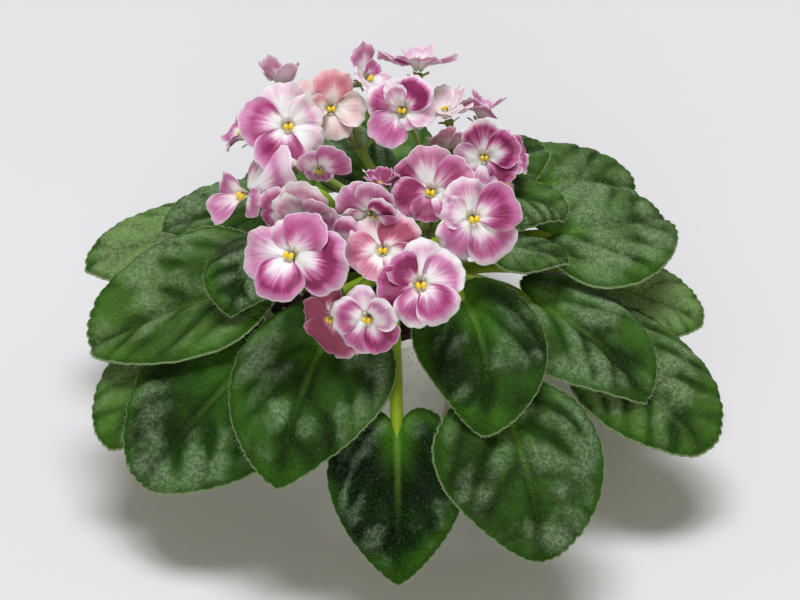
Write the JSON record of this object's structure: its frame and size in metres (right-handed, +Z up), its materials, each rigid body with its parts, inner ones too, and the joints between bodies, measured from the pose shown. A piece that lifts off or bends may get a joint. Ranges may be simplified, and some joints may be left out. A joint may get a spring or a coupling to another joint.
{
  "type": "potted african violet",
  "caption": "African violet in a round plastic pot of soil: a flat rosette of stalked, notched-edge leaves under a dome of pink and white five-lobed blooms on branching stalks.",
  "frame": {"origin": "centre of the pot's flat underside", "axes": "+Z up through the pot; -Y towards the side that the picture shows, +X to that viewer's right"},
  "size_m": [0.2885, 0.271, 0.1783],
  "materials": {
    "pot": "satin white plastic with faint mineral stains",
    "soil": "damp crumbly potting soil with white perlite",
    "crown": "downy green-brown stem with leaf scars",
    "leaf": "velvety dark green, paler at the veins and edge",
    "spray": "downy yellow-green stalks, browner calyces",
    "bloom": "thin matt petals, white at the throat and pink to magenta outside, yellow anthers"
  },
  "bodies": {
    "root": {"pot": "pot", "soil": "soil", "crown": "crown", "leaf_outer_front": "leaf", "leaf_outer_front_right": "leaf", "leaf_outer_right_front": "leaf", "leaf_outer_right": "leaf", "leaf_outer_right_back": "leaf", "leaf_outer_back_right": "leaf", "leaf_outer_back": "leaf", "leaf_outer_back_left": "leaf", "leaf_outer_left_back": "leaf", "leaf_outer_left_low": "leaf", "leaf_outer_front_left": "leaf", "leaf_middle_left": "leaf", "leaf_middle_front_left": "leaf", "leaf_middle_front_right": "leaf", "leaf_middle_right_front": "leaf", "leaf_middle_right": "leaf", "leaf_middle_left_back": "leaf", "leaf_inner_right_back": "leaf", "leaf_inner_right": "leaf", "leaf_inner_right_low": "leaf", "leaf_inner_left": "leaf", "leaf_inner_back": "leaf", "spray_back_left": "spray", "bloom_back_left_1": "bloom", "bloom_back_left_2": "bloom", "bloom_back_left_3": "bloom", "spray_back": "spray", "bloom_back_1": "bloom", "bloom_back_2": "bloom", "bloom_back_3": "bloom", "spray_back_right": "spray", "bloom_back_right_1": "bloom", "bloom_back_right_2": "bloom", "bloom_back_right_3": "bloom", "spray_right": "spray", "bloom_right_1": "bloom", "bloom_right_2": "bloom", "bloom_right_3": "bloom", "bloom_right_4": "bloom", "spray_front_right": "spray", "bloom_front_right_1": "bloom", "bloom_front_right_2": "bloom", "bloom_front_right_3": "bloom", "spray_front": "spray", "bloom_front_1": "bloom", "bloom_front_2": "bloom", "bloom_front_3": "bloom", "bloom_front_4": "bloom", "spray_front_left": "spray", "bloom_front_left_1": "bloom", "bloom_front_left_2": "bloom", "bloom_front_left_3": "bloom", "spray_left": "spray", "bloom_left_1": "bloom", "bloom_left_2": "bloom", "bloom_left_3": "bloom", "bloom_left_4": "bloom"}
  },
  "joints": []
}
